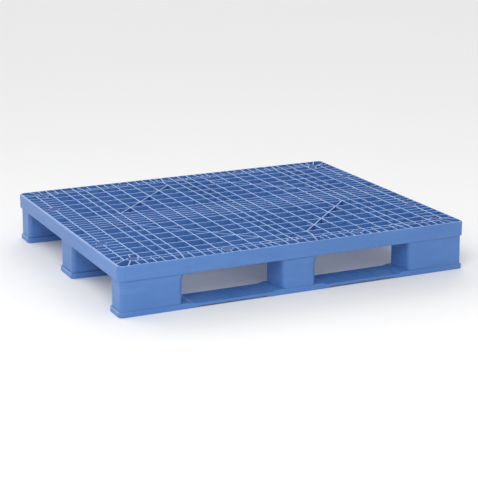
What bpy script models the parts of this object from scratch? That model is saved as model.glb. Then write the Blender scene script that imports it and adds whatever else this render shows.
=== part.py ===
"""Open-deck plastic pallet on three runners, built up from separate mouldings.

Metres, +Z up. The origin is at the middle of the pallet on the floor: X runs along the long side
(and along the runners), Y across them. The deck sits on nine hollow blocks, the blocks stand on
three runners, and one long screw under each block clamps runner, block and deck together. Four
square steel tubes stiffen the deck from below, and twelve anti-slip plugs sit in cups in its top.
"""
import math

import bmesh
import bpy

# Overall size
LENGTH = 1.200
WIDTH = 1.000
HEIGHT = 0.160

# Gap left between two pieces that touch
TOUCH_GAP = 0.0003

# Deck moulding
DECK_DEPTH = 0.048
DECK_CORNER_RADIUS = 0.020
SKIRT_WALL = 0.005
RIB_WALL = 0.004
DECK_BOTTOM_CHAMFER = 0.003
DECK_TOP_ROUND = 0.003

# Deck rib grid: distances from the middle of the pallet, or from its edge
FIRST_COLUMN = 0.0805
COLUMN_BAYS = 5
PAIR_SPACING = 0.033
EDGE_COLUMNS = (0.0975, 0.0435)
PAIR_TO_EDGE = 0.2255
FIRST_ROW = 0.083
ROW_BAYS = 5
LAST_ROW_TO_EDGE = 0.1165
EDGE_ROW = 0.068

# Blocks
CORNER_BLOCK_LENGTH = 0.1975
MIDDLE_BLOCK_LENGTH = 0.110
SIDE_BLOCK_WIDTH = 0.095
CENTRE_BLOCK_WIDTH = 0.130
LEAD_IN = 0.020
END_LEAD_IN = 0.010
END_RECESS = 0.006
SIDE_RECESS = 0.003
BLOCK_RADIUS = 0.014
BLOCK_WALL = 0.004
BLOCK_DRAFT = 0.001
FLARE_REACH = 0.015
FLARE_HEIGHT = 0.035
FLARE_STEPS = 3
INNER_RADIUS = 0.004
BLOCK_BOSS_ROUND = 0.016

# Runners
RUNNER_THICKNESS = 0.0135
RUNNER_LEDGE = 0.005
SPAN_LIFT = 0.0045
PAD_HEIGHT = 0.0045
PAD_MARGIN = 0.005
PAD_RAMP = 0.016
FOOT_MARGIN = 0.040
FOOT_RAMP = 0.018
LIP_REACH = 0.0055
LIP_SIDE_REACH = 0.001
LIP_HEIGHT = 0.017
RUNNER_TOP_WALL = 0.004
RUNNER_RIB_WALL = 0.005
RUNNER_END_WALL = 0.014
SPAN_POCKETS = 3
SCREW_LAND = 0.036

# Clamp screws, their bosses and the spigots that locate the blocks in the deck
SCREW_RADIUS = 0.0032
SCREW_HOLE_CLEARANCE = 0.0008
SCREW_PILOT_CLEARANCE = 0.0003
SCREW_HEAD_RADIUS = 0.010
SCREW_HEAD_HEIGHT = 0.005
SCREW_HEAD_SINK = 0.004
SCREW_HEAD_CHAMFER = 0.0017
SCREW_GRIP_IN_DECK = 0.020
SCREW_TIP = 0.004
SCREW_TIP_RADIUS = 0.0011
BOSS_WALL = 0.005
BOSS_HEIGHT = 0.028
SPIGOT_RADIUS = 0.014
SPIGOT_HEIGHT = 0.010

# Steel tubes under the deck
TUBE_SIZE = 0.025
TUBE_WALL = 0.0015
TUBE_SIDE_CLEARANCE = 0.0005
TUBE_END_CLEARANCE = 0.003

# Anti-slip plugs and their cups
PLUG_RADIUS = 0.0155
PLUG_DEPTH = 0.016
PLUG_PROUD = 0.001
PLUG_EDGE_ROUND = 0.0015
CUP_WALL = 0.0035
CUP_FLOOR = 0.003
SIDE_CUP_TO_EDGE = 0.047

# Facets
CORNER_SEGMENTS = 4
INNER_SEGMENTS = 1
ROUND_SEGMENTS = 12
SCREW_SEGMENTS = 8
TOP_ROUND_STEPS = 2

# How far a cutter runs past the face that it opens
CUT_PAST = 0.004

# Derived levels
DECK_BOTTOM = HEIGHT - DECK_DEPTH
PAD_TOP = RUNNER_THICKNESS + PAD_HEIGHT
BLOCK_BOTTOM = PAD_TOP + TOUCH_GAP
BLOCK_TOP = DECK_BOTTOM - TOUCH_GAP
SCREW_HOLE_RADIUS = SCREW_RADIUS + SCREW_HOLE_CLEARANCE

# Derived plan positions
BLOCK_X_OUTER = LENGTH / 2 - END_RECESS
BLOCK_X_INNER = BLOCK_X_OUTER - CORNER_BLOCK_LENGTH
BLOCK_Y_OUTER = WIDTH / 2 - SIDE_RECESS
BLOCK_Y_INNER = BLOCK_Y_OUTER - SIDE_BLOCK_WIDTH

BLUE = (0.085, 0.215, 0.520)
PLUG_BLUE = (0.060, 0.130, 0.300)
ZINC = (0.550, 0.560, 0.570)
STEEL = (0.420, 0.430, 0.440)


def clear_scene():
    """Remove every object that the new file starts with."""
    for existing in list(bpy.data.objects):
        bpy.data.objects.remove(existing, do_unlink=True)


def make_material(name, colour, roughness, metallic):
    """Return a Principled BSDF material."""
    material = bpy.data.materials.new(name)
    material.use_nodes = True
    shader = material.node_tree.nodes["Principled BSDF"]
    shader.inputs["Base Color"].default_value = (*colour, 1.0)
    shader.inputs["Roughness"].default_value = roughness
    shader.inputs["Metallic"].default_value = metallic
    return material


def make_object(name, mesh_builder, material=None):
    """Turn a bmesh into a linked object and free the bmesh."""
    mesh = bpy.data.meshes.new(name)
    bmesh.ops.recalc_face_normals(mesh_builder, faces=mesh_builder.faces)
    mesh_builder.to_mesh(mesh)
    mesh_builder.free()
    made = bpy.data.objects.new(name, mesh)
    bpy.context.collection.objects.link(made)
    if material is not None:
        mesh.materials.append(material)
    return made


def rounded_rectangle(low_x, high_x, low_y, high_y, radii):
    """Corner arcs of a rounded rectangle, anticlockwise from the low-X, low-Y corner.

    A corner as tight as an inside corner of a moulding gets fewer points.
    """
    corners = (
        (low_x + radii[0], low_y + radii[0], 180.0),
        (high_x - radii[1], low_y + radii[1], 270.0),
        (high_x - radii[2], high_y - radii[2], 0.0),
        (low_x + radii[3], high_y - radii[3], 90.0),
    )
    points = []
    for (centre_x, centre_y, start), radius in zip(corners, radii):
        segments = CORNER_SEGMENTS if radius > INNER_RADIUS else INNER_SEGMENTS
        for step in range(segments + 1):
            angle = math.radians(start + 90.0 * step / segments)
            points.append((centre_x + radius * math.cos(angle), centre_y + radius * math.sin(angle)))
    return points


def circle(centre_x, centre_y, radius, segments):
    """Points of a circle in plan."""
    points = []
    for step in range(segments):
        angle = 2.0 * math.pi * step / segments
        points.append((centre_x + radius * math.cos(angle), centre_y + radius * math.sin(angle)))
    return points


def add_loft(builder, sections):
    """Add a closed body through (outline, z) sections that have the same number of points."""
    rings = []
    for outline, level in sections:
        rings.append([builder.verts.new((x, y, level)) for x, y in outline])
    count = len(rings[0])
    builder.faces.new(list(reversed(rings[0])))
    builder.faces.new(rings[-1])
    for lower, upper in zip(rings, rings[1:]):
        for index in range(count):
            following = (index + 1) % count
            builder.faces.new((lower[index], lower[following], upper[following], upper[index]))


def add_box(builder, low, high):
    """Add a box between two opposite corners."""
    outline = [(low[0], low[1]), (high[0], low[1]), (high[0], high[1]), (low[0], high[1])]
    add_loft(builder, [(outline, low[2]), (outline, high[2])])


def add_turned(builder, centre_x, centre_y, profile, segments=ROUND_SEGMENTS):
    """Add a round body from (radius, z) pairs that run upwards."""
    add_loft(builder, [(circle(centre_x, centre_y, radius, segments), level) for radius, level in profile])


def apply_boolean(target, builder, operation):
    """Combine a bmesh with an object by an exact Boolean, and apply the result."""
    cutter = make_object(target.name + "_tool", builder)
    cutter.hide_render = True
    cutter.display_type = "WIRE"
    modifier = target.modifiers.new("cut", "BOOLEAN")
    modifier.operation = operation
    modifier.solver = "EXACT"
    modifier.object = cutter
    graph = bpy.context.evaluated_depsgraph_get()
    result = bpy.data.meshes.new_from_object(target.evaluated_get(graph))
    target.modifiers.clear()
    replaced = target.data
    target.data = result
    bpy.data.meshes.remove(replaced)
    bpy.data.objects.remove(cutter, do_unlink=True)


def shade_round(item):
    """Shade the round faces smooth and keep the edges crisp."""
    item.data.shade_smooth()
    item.data.set_sharp_from_angle(angle=math.radians(35.0))


def mirrored(distances):
    """Distances on both sides of the middle, from low to high, with the middle itself."""
    return [-value for value in reversed(distances)] + [0.0] + list(distances)


def rib_columns():
    """X of every deck rib that runs across the pallet, on the positive side."""
    last = LENGTH / 2 - PAIR_TO_EDGE
    step = (last - FIRST_COLUMN) / COLUMN_BAYS
    regular = [FIRST_COLUMN + step * index for index in range(COLUMN_BAYS + 1)]
    edge = [LENGTH / 2 - inset for inset in EDGE_COLUMNS]
    return regular + [last + PAIR_SPACING] + edge


def rib_rows():
    """Y of every deck rib that runs along the pallet, on the positive side."""
    last = WIDTH / 2 - LAST_ROW_TO_EDGE
    step = (last - FIRST_ROW) / ROW_BAYS
    regular = [FIRST_ROW + step * index for index in range(ROW_BAYS + 1)]
    return regular + [WIDTH / 2 - EDGE_ROW]


def tube_positions():
    """X of the four steel tubes, each midway between two neighbouring ribs."""
    outer = LENGTH / 2 - PAIR_TO_EDGE + PAIR_SPACING / 2
    inner = FIRST_COLUMN / 2
    return (-outer, -inner, inner, outer)


def block_spans():
    """X and Y spans of the nine blocks by name, with the two sides that face outwards."""
    x_spans = {
        "left": (-BLOCK_X_OUTER, -BLOCK_X_INNER),
        "middle": (-MIDDLE_BLOCK_LENGTH / 2, MIDDLE_BLOCK_LENGTH / 2),
        "right": (BLOCK_X_INNER, BLOCK_X_OUTER),
    }
    y_spans = {
        "front": (-BLOCK_Y_OUTER, -BLOCK_Y_INNER),
        "centre": (-CENTRE_BLOCK_WIDTH / 2, CENTRE_BLOCK_WIDTH / 2),
        "rear": (BLOCK_Y_INNER, BLOCK_Y_OUTER),
    }
    spans = {}
    for row, y_span in y_spans.items():
        for column, x_span in x_spans.items():
            outward = (column == "left", column == "right", row == "front", row == "rear")
            spans[f"{row}_{column}"] = (x_span, y_span, outward)
    return spans


def screw_positions():
    """Plan position of each clamp screw, on the middle of its block."""
    return {name: (sum(x) / 2, sum(y) / 2) for name, (x, y, _) in block_spans().items()}


def cup_positions():
    """Plan position of each anti-slip plug: four near the corners, eight along the edges."""
    columns = rib_columns()
    rows = rib_rows()
    bay_x = (columns[2] + columns[3]) / 2
    bay_y = (rows[2] + rows[3]) / 2
    corner_x = (columns[-2] + columns[-1]) / 2
    side_y = WIDTH / 2 - SIDE_CUP_TO_EDGE
    points = ((corner_x, rows[-1]), (bay_x, side_y), (columns[-1], bay_y))
    return [(sign_x * x, sign_y * y) for x, y in points for sign_x in (-1, 1) for sign_y in (-1, 1)]


def deck_outline(inset):
    """Plan outline of the deck, moved inwards by a distance."""
    half_length = LENGTH / 2 - inset
    half_width = WIDTH / 2 - inset
    radii = [DECK_CORNER_RADIUS - inset] * 4
    return rounded_rectangle(-half_length, half_length, -half_width, half_width, radii)


def cell_cutter():
    """Prisms of every opening in the rib grid, trimmed to the inside of the skirt."""
    columns = [-LENGTH] + mirrored(rib_columns()) + [LENGTH]
    rows = [-WIDTH] + mirrored(rib_rows()) + [WIDTH]
    low = DECK_BOTTOM - CUT_PAST
    high = HEIGHT + CUT_PAST
    half_rib = RIB_WALL / 2
    prisms = bmesh.new()
    for left, right in zip(columns, columns[1:]):
        for front, back in zip(rows, rows[1:]):
            add_box(prisms, (left + half_rib, front + half_rib, low),
                    (right - half_rib, back - half_rib, high))
    cutter = make_object("cells", prisms)
    inside = bmesh.new()
    outline = deck_outline(SKIRT_WALL)
    add_loft(inside, [(outline, low - CUT_PAST), (outline, high + CUT_PAST)])
    apply_boolean(cutter, inside, "INTERSECT")
    trimmed = bmesh.new()
    trimmed.from_mesh(cutter.data)
    bpy.data.objects.remove(cutter, do_unlink=True)
    return trimmed


def build_deck(material):
    """Deck: skirt, open rib grid, screw bosses, plug cups and channels for the steel tubes."""
    sections = [
        (deck_outline(DECK_BOTTOM_CHAMFER), DECK_BOTTOM),
        (deck_outline(0.0), DECK_BOTTOM + DECK_BOTTOM_CHAMFER),
    ]
    for step in range(TOP_ROUND_STEPS + 1):
        angle = math.pi / 2 * step / TOP_ROUND_STEPS
        inset = DECK_TOP_ROUND * (1.0 - math.cos(angle))
        sections.append((deck_outline(inset), HEIGHT - DECK_TOP_ROUND * (1.0 - math.sin(angle))))
    body = bmesh.new()
    add_loft(body, sections)
    deck = make_object("deck", body, material)
    apply_boolean(deck, cell_cutter(), "DIFFERENCE")

    cup_radius = PLUG_RADIUS + TOUCH_GAP + CUP_WALL
    cup_bottom = HEIGHT - PLUG_DEPTH - TOUCH_GAP - CUP_FLOOR
    boss_radius = SPIGOT_RADIUS + TOUCH_GAP + BOSS_WALL
    rounds = bmesh.new()
    for x, y in screw_positions().values():
        add_turned(rounds, x, y, [(boss_radius, DECK_BOTTOM), (boss_radius, DECK_BOTTOM + BOSS_HEIGHT)])
    for x, y in cup_positions():
        add_turned(rounds, x, y, [(cup_radius, cup_bottom), (cup_radius, HEIGHT)])
    apply_boolean(deck, rounds, "UNION")
    apply_boolean(deck, cup_webs(cup_bottom), "UNION")

    hollows = bmesh.new()
    socket_radius = SPIGOT_RADIUS + TOUCH_GAP
    pilot_radius = SCREW_RADIUS + SCREW_PILOT_CLEARANCE
    socket_top = DECK_BOTTOM + SPIGOT_HEIGHT
    for x, y in screw_positions().values():
        pilot_top = socket_top + SCREW_GRIP_IN_DECK
        add_turned(hollows, x, y, [
            (socket_radius, DECK_BOTTOM - CUT_PAST),
            (socket_radius, socket_top),
            (pilot_radius, socket_top),
            (pilot_radius, pilot_top),
        ])
    for x, y in cup_positions():
        radius = PLUG_RADIUS + TOUCH_GAP
        add_turned(hollows, x, y, [(radius, cup_bottom + CUP_FLOOR), (radius, HEIGHT + CUT_PAST)])
    half_channel = TUBE_SIZE / 2 + TUBE_SIDE_CLEARANCE
    half_reach = WIDTH / 2 - SKIRT_WALL - TUBE_SIDE_CLEARANCE
    for x in tube_positions():
        channel_top = DECK_BOTTOM + TUBE_SIZE + 2 * TOUCH_GAP
        add_box(hollows, (x - half_channel, -half_reach, DECK_BOTTOM - CUT_PAST),
                (x + half_channel, half_reach, channel_top))
    apply_boolean(deck, hollows, "DIFFERENCE")
    shade_round(deck)


def cup_webs(cup_bottom):
    """Short webs that tie each plug cup to the ribs or the skirt beside it."""
    skirt = LENGTH / 2 - SKIRT_WALL / 2
    columns = [-skirt] + mirrored(rib_columns()) + [skirt]
    half_web = RIB_WALL / 2 - TOUCH_GAP
    webs = bmesh.new()
    for x, y in cup_positions():
        left = max(value for value in columns if value < x - PLUG_RADIUS)
        right = min(value for value in columns if value > x + PLUG_RADIUS)
        add_box(webs, (left, y - half_web, cup_bottom + TOUCH_GAP),
                (right, y + half_web, HEIGHT - TOUCH_GAP))
    return webs


def led_in(outline, x_span, y_span, outward):
    """Plan outline of a side block, widened towards the pallet's middle to lead a fork in."""
    left, right, front, rear = outward
    if not (front or rear):
        return outline
    outer_y, inner_y = y_span if front else reversed(y_span)
    centre_x = sum(x_span) / 2
    half_length = (x_span[1] - x_span[0]) / 2
    moved = []
    for x, y in outline:
        depth = min(1.0, max(0.0, (y - outer_y) / (inner_y - outer_y)))
        reach = min(1.0, max(-1.0, (x - centre_x) / half_length))
        fixed = right if reach > 0.0 else left
        moved.append((x if fixed else x + LEAD_IN * depth * reach, y))
    return moved


def end_lead(x):
    """How far a block or runner is drawn in at X, on its sides beside an end opening."""
    share = (abs(x) - BLOCK_X_INNER) / (BLOCK_X_OUTER - BLOCK_X_INNER)
    return END_LEAD_IN * min(1.0, max(0.0, share))


def drawn_in(outline, y_span, outward):
    """Plan outline made narrower towards the pallet's ends, to lead a fork in there."""
    front, rear = outward[2:]
    centre_y = sum(y_span) / 2
    core = BLOCK_WALL / 2
    slope = (y_span[1] - y_span[0]) / 2 - core
    moved = []
    for x, y in outline:
        reach = min(1.0, max(0.0, (abs(y - centre_y) - core) / slope))
        fixed = rear if y > centre_y else front
        inwards = math.copysign(end_lead(x) * reach, centre_y - y)
        moved.append((x, y if fixed else y + inwards))
    return moved


def build_block(name, x_span, y_span, outward, material):
    """Hollow block with four cells, a screw boss, a spigot on top and a flare towards each opening."""
    centre_x = sum(x_span) / 2
    centre_y = sum(y_span) / 2
    radii = block_radii(outward)

    def outline(level):
        rise = max(0.0, level - (BLOCK_TOP - FLARE_HEIGHT)) / FLARE_HEIGHT
        flare = FLARE_REACH * (1.0 - math.sqrt(max(0.0, 1.0 - rise * rise)))
        draft = BLOCK_DRAFT * (level - BLOCK_BOTTOM) / (BLOCK_TOP - BLOCK_BOTTOM)
        grow = [-draft if faces_out else flare for faces_out in outward]
        plain = rounded_rectangle(x_span[0] - grow[0], x_span[1] + grow[1],
                                  y_span[0] - grow[2], y_span[1] + grow[3], radii)
        return drawn_in(led_in(plain, x_span, y_span, outward), y_span, outward)

    levels = [BLOCK_BOTTOM, BLOCK_TOP - FLARE_HEIGHT]
    for step in range(1, FLARE_STEPS + 1):
        levels.append(BLOCK_TOP - FLARE_HEIGHT * (1.0 - math.sin(math.pi / 2 * step / FLARE_STEPS)))
    body = bmesh.new()
    add_loft(body, [(outline(level), level) for level in levels])
    block = make_object(name, body, material)

    spigot = bmesh.new()
    spigot_top = BLOCK_TOP + SPIGOT_HEIGHT - TOUCH_GAP
    add_turned(spigot, centre_x, centre_y, [
        (SPIGOT_RADIUS, BLOCK_TOP - BLOCK_WALL / 2),
        (SPIGOT_RADIUS, spigot_top),
    ])
    apply_boolean(block, spigot, "UNION")
    apply_boolean(block, block_cells(x_span, y_span, outward), "DIFFERENCE")

    hole = bmesh.new()
    add_turned(hole, centre_x, centre_y, [
        (SCREW_HOLE_RADIUS, BLOCK_BOTTOM - CUT_PAST),
        (SCREW_HOLE_RADIUS, spigot_top + CUT_PAST),
    ])
    apply_boolean(block, hole, "DIFFERENCE")
    shade_round(block)


def block_radii(outward):
    """Corner radii of a block: the pallet's own corner follows the deck, the rest are equal."""
    left, right, front, rear = outward
    at_corner = (left and front, right and front, right and rear, left and rear)
    return [DECK_CORNER_RADIUS - END_RECESS if corner else BLOCK_RADIUS for corner in at_corner]


def block_cells(x_span, y_span, outward):
    """The four hollows of a block, open below, rounded off around the screw boss between them."""
    radii = block_radii(outward)
    centre_x = sum(x_span) / 2
    centre_y = sum(y_span) / 2
    inset = BLOCK_WALL + BLOCK_DRAFT
    half_rib = BLOCK_WALL / 2
    x_parts = ((x_span[0] + inset, centre_x - half_rib), (centre_x + half_rib, x_span[1] - inset))
    y_parts = ((y_span[0] + inset, centre_y - half_rib), (centre_y + half_rib, y_span[1] - inset))
    cells = bmesh.new()
    places = ((0, 0, 0), (1, 0, 1), (1, 1, 2), (0, 1, 3))
    for column, row, corner in places:
        cell_radii = [INNER_RADIUS] * 4
        cell_radii[corner] = radii[corner] - inset
        cell_radii[(corner + 2) % 4] = BLOCK_BOSS_ROUND
        plain = rounded_rectangle(*x_parts[column], *y_parts[row], cell_radii)
        hollow_span = (y_span[0] + inset, y_span[1] - inset)
        outline = drawn_in(led_in(plain, x_span, y_span, outward), hollow_span, outward)
        add_loft(cells, [(outline, BLOCK_BOTTOM - CUT_PAST), (outline, BLOCK_TOP - BLOCK_WALL)])
    return cells


def pad_edges():
    """X where the pads under a middle and a corner block end, beside a span."""
    reach = LEAD_IN + PAD_MARGIN
    return MIDDLE_BLOCK_LENGTH / 2 + reach, BLOCK_X_INNER - reach


def runner_profile():
    """Side outline of a runner: three feet below, and a raised pad with ramps above each foot."""
    half_middle = MIDDLE_BLOCK_LENGTH / 2
    end = BLOCK_X_OUTER + LIP_REACH
    outer_foot = BLOCK_X_INNER - FOOT_MARGIN
    inner_foot = half_middle + FOOT_MARGIN
    inner_pad, outer_pad = pad_edges()
    below = [
        (inner_foot, 0.0),
        (inner_foot + FOOT_RAMP, SPAN_LIFT),
        (outer_foot - FOOT_RAMP, SPAN_LIFT),
        (outer_foot, 0.0),
        (end, 0.0),
    ]
    above = [
        (end, PAD_TOP),
        (outer_pad, PAD_TOP),
        (outer_pad - PAD_RAMP, RUNNER_THICKNESS),
        (inner_pad + PAD_RAMP, RUNNER_THICKNESS),
        (inner_pad, PAD_TOP),
    ]
    right_side = below + above
    left_side = [(-x, z) for x, z in reversed(right_side)]
    return right_side + left_side


def runner_outline(end_x, side_reach, y_span, side_radii, outward):
    """Plan outline of a runner, straight along the middle and drawn in towards both ends."""
    corners = rounded_rectangle(-end_x, end_x, y_span[0] - side_reach, y_span[1] + side_reach, side_radii)
    outline = []
    for index, point in enumerate(corners):
        outline.append(point)
        step = corners[(index + 1) % len(corners)][0] - point[0]
        if abs(step) > BLOCK_X_INNER:
            turn_x = math.copysign(BLOCK_X_INNER, step)
            outline += [(-turn_x, point[1]), (turn_x, point[1])]
    return drawn_in(outline, y_span, outward)


def runner_pockets(y_span, outward):
    """X and Y limits and ceiling of the hollows under a runner, clear of the three screw lands."""
    half_land = SCREW_LAND / 2
    screw_x = (BLOCK_X_INNER + BLOCK_X_OUTER) / 2
    inner_pad, outer_pad = pad_edges()
    span_low = inner_pad + PAD_RAMP
    span_step = (outer_pad - PAD_RAMP - span_low) / SPAN_POCKETS
    rib = RUNNER_RIB_WALL
    pad_ceiling = PAD_TOP - RUNNER_TOP_WALL
    span_ceiling = RUNNER_THICKNESS - RUNNER_TOP_WALL
    pockets = [
        (screw_x + half_land, BLOCK_X_OUTER - RUNNER_END_WALL, pad_ceiling),
        (outer_pad + rib, screw_x - half_land, pad_ceiling),
        (half_land, inner_pad - rib, pad_ceiling),
    ]
    for index in range(SPAN_POCKETS):
        low = span_low + index * span_step
        pockets.append((low + rib / 2, low + span_step - rib / 2, span_ceiling))
    front, rear = outward[2:]
    limits = []
    for low, high, ceiling in pockets:
        low_y = y_span[0] + rib + (0.0 if front else end_lead(high))
        high_y = y_span[1] - rib - (0.0 if rear else end_lead(high))
        limits.append((low, high, low_y, high_y, ceiling))
        limits.append((-high, -low, low_y, high_y, ceiling))
    return limits


def build_runner(name, y_span, side_radii, screw_y, outward, material):
    """Runner: feet, pads and end lips from one side outline, trimmed to its plan, hollow below."""
    body = bmesh.new()
    profile = runner_profile()
    low_y = y_span[0] - 2 * CUT_PAST
    high_y = y_span[1] + 2 * CUT_PAST
    near = [body.verts.new((x, low_y, z)) for x, z in profile]
    far = [body.verts.new((x, high_y, z)) for x, z in profile]
    body.faces.new(near)
    body.faces.new(list(reversed(far)))
    for index in range(len(profile)):
        following = (index + 1) % len(profile)
        body.faces.new((near[index], near[following], far[following], far[index]))
    runner = make_object(name, body, material)

    plan = bmesh.new()
    lip_x = BLOCK_X_OUTER + LIP_REACH - TOUCH_GAP
    lip = runner_outline(lip_x, LIP_SIDE_REACH, y_span, side_radii, outward)
    upper = runner_outline(BLOCK_X_OUTER, 0.0, y_span, side_radii, outward)
    add_loft(plan, [
        (lip, -CUT_PAST),
        (lip, LIP_HEIGHT),
        (upper, LIP_HEIGHT),
        (upper, PAD_TOP + CUT_PAST),
    ])
    apply_boolean(runner, plan, "INTERSECT")

    hollows = bmesh.new()
    for low, high, front, back, ceiling in runner_pockets(y_span, outward):
        add_box(hollows, (low, front, -CUT_PAST), (high, back, ceiling))
    screw_x = (BLOCK_X_INNER + BLOCK_X_OUTER) / 2
    seat = SCREW_HEAD_SINK + SCREW_HEAD_HEIGHT
    head_radius = SCREW_HEAD_RADIUS + SCREW_HOLE_CLEARANCE
    for x in (-screw_x, 0.0, screw_x):
        add_turned(hollows, x, screw_y, [
            (head_radius, -CUT_PAST),
            (head_radius, seat),
            (SCREW_HOLE_RADIUS, seat),
            (SCREW_HOLE_RADIUS, PAD_TOP + CUT_PAST),
        ])
    apply_boolean(runner, hollows, "DIFFERENCE")
    shade_round(runner)


def build_screw(name, centre_x, centre_y, material):
    """Clamp screw: wide head sunk into the runner, and a shank up into the deck's boss."""
    seat = SCREW_HEAD_SINK + SCREW_HEAD_HEIGHT - TOUCH_GAP
    tip = DECK_BOTTOM + SPIGOT_HEIGHT + SCREW_GRIP_IN_DECK - SCREW_TIP
    builder = bmesh.new()
    add_turned(builder, centre_x, centre_y, [
        (SCREW_HEAD_RADIUS - SCREW_HEAD_CHAMFER, SCREW_HEAD_SINK),
        (SCREW_HEAD_RADIUS, SCREW_HEAD_SINK + SCREW_HEAD_CHAMFER),
        (SCREW_HEAD_RADIUS, seat),
        (SCREW_RADIUS, seat),
        (SCREW_RADIUS, tip - SCREW_TIP),
        (SCREW_TIP_RADIUS, tip),
    ], SCREW_SEGMENTS)
    shade_round(make_object(name, builder, material))


def build_tube(name, centre_x, material):
    """Square steel tube that runs across the deck, inside its channel."""
    half_length = WIDTH / 2 - SKIRT_WALL - TUBE_END_CLEARANCE
    bottom = DECK_BOTTOM + TOUCH_GAP
    builder = bmesh.new()
    add_box(builder, (centre_x - TUBE_SIZE / 2, -half_length, bottom),
            (centre_x + TUBE_SIZE / 2, half_length, bottom + TUBE_SIZE))
    tube = make_object(name, builder, material)
    bore = bmesh.new()
    add_box(bore, (centre_x - TUBE_SIZE / 2 + TUBE_WALL, -half_length - CUT_PAST, bottom + TUBE_WALL),
            (centre_x + TUBE_SIZE / 2 - TUBE_WALL, half_length + CUT_PAST, bottom + TUBE_SIZE - TUBE_WALL))
    apply_boolean(tube, bore, "DIFFERENCE")


def build_plug(name, centre_x, centre_y, material):
    """Anti-slip plug: a short cylinder that stands a little proud of the deck."""
    top = HEIGHT + PLUG_PROUD
    builder = bmesh.new()
    add_turned(builder, centre_x, centre_y, [
        (PLUG_RADIUS, HEIGHT - PLUG_DEPTH),
        (PLUG_RADIUS, top - PLUG_EDGE_ROUND),
        (PLUG_RADIUS - PLUG_EDGE_ROUND, top),
    ])
    shade_round(make_object(name, builder, material))


def runner_plans():
    """Y span, corner radii, screw line and outward sides of the three runners, by name."""
    corner = DECK_CORNER_RADIUS - END_RECESS
    side = BLOCK_RADIUS
    half_centre = CENTRE_BLOCK_WIDTH / 2 + RUNNER_LEDGE
    inner = BLOCK_Y_INNER - RUNNER_LEDGE
    screw_y = (BLOCK_Y_INNER + BLOCK_Y_OUTER) / 2
    return {
        "runner_front": ((-BLOCK_Y_OUTER, -inner), [corner, corner, side, side], -screw_y,
                         (True, True, True, False)),
        "runner_centre": ((-half_centre, half_centre), [side] * 4, 0.0, (True, True, False, False)),
        "runner_rear": ((inner, BLOCK_Y_OUTER), [side, side, corner, corner], screw_y,
                        (True, True, False, True)),
    }


def build_pallet():
    """Build every piece of the pallet."""
    clear_scene()
    blue = make_material("deck_blue", BLUE, 0.42, 0.0)
    block_blue = make_material("block_blue", BLUE, 0.45, 0.0)
    runner_blue = make_material("runner_blue", BLUE, 0.45, 0.0)
    plug_blue = make_material("plug_rubber", PLUG_BLUE, 0.75, 0.0)
    zinc = make_material("screw_zinc", ZINC, 0.35, 1.0)
    steel = make_material("tube_steel", STEEL, 0.40, 1.0)

    build_deck(blue)
    for place, (x_span, y_span, outward) in block_spans().items():
        build_block(f"block_{place}", x_span, y_span, outward, block_blue)
    for name, (y_span, side_radii, screw_y, outward) in runner_plans().items():
        build_runner(name, y_span, side_radii, screw_y, outward, runner_blue)
    for place, (x, y) in screw_positions().items():
        build_screw(f"clamp_screw_{place}", x, y, zinc)
    for number, x in enumerate(tube_positions(), start=1):
        build_tube(f"steel_tube_{number}", x, steel)
    for number, (x, y) in enumerate(cup_positions(), start=1):
        build_plug(f"grip_plug_{number:02d}", x, y, plug_blue)


build_pallet()
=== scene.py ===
"""Open-deck plastic pallet: fine mouldings, fittings, finishes and a small studio around them.

Metres, +Z up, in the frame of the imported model: X runs along the long side and along the runners,
Y across them, and the floor is at Z 0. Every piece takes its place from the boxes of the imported
nodes that it stands for.
"""

import logging
import math
from collections.abc import Callable, Iterable, Sequence
from dataclasses import dataclass
from enum import Enum
from functools import cache

import bmesh
import bpy
from mathutils import Matrix, Quaternion, Vector


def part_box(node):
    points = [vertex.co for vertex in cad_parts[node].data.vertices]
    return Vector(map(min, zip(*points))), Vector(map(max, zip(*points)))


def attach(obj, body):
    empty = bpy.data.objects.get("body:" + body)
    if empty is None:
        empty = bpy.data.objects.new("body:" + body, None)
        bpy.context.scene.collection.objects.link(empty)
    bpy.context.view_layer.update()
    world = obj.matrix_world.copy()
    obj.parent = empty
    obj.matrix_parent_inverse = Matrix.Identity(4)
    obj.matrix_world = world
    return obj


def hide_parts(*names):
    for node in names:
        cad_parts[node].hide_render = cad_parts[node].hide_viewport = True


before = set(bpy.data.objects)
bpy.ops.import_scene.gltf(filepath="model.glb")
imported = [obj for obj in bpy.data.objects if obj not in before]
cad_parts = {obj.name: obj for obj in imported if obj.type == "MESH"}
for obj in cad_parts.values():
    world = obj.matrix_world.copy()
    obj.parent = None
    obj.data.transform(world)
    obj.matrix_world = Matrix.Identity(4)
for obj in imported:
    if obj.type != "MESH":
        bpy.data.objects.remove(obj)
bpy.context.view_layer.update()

LOG = logging.getLogger("pallet")
BODY = "root"
SAME_PLACE = 1e-6
SLIVER = 0.00004
CUT_PAST = 0.004
FLOOR_LAP = 0.0004
SMOOTH_BELOW = math.radians(35.0)
SIDES = (-1.0, 1.0)
QUADRANTS = tuple((side_x, side_y) for side_x in SIDES for side_y in SIDES)


class Slot(Enum):
    """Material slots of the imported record."""

    DECK = "deck_blue"
    BLOCK = "block_blue"
    RUNNER = "runner_blue"
    PLUG = "plug_rubber"
    SCREW = "screw_zinc"
    TUBE = "tube_steel"


class Step(Enum):
    """What a Boolean step does with the shape that it is given."""

    JOIN = "UNION"
    CUT = "DIFFERENCE"
    KEEP_INSIDE = "INTERSECT"


# ------------------------------------------------------------------------------------- shader maths


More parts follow.
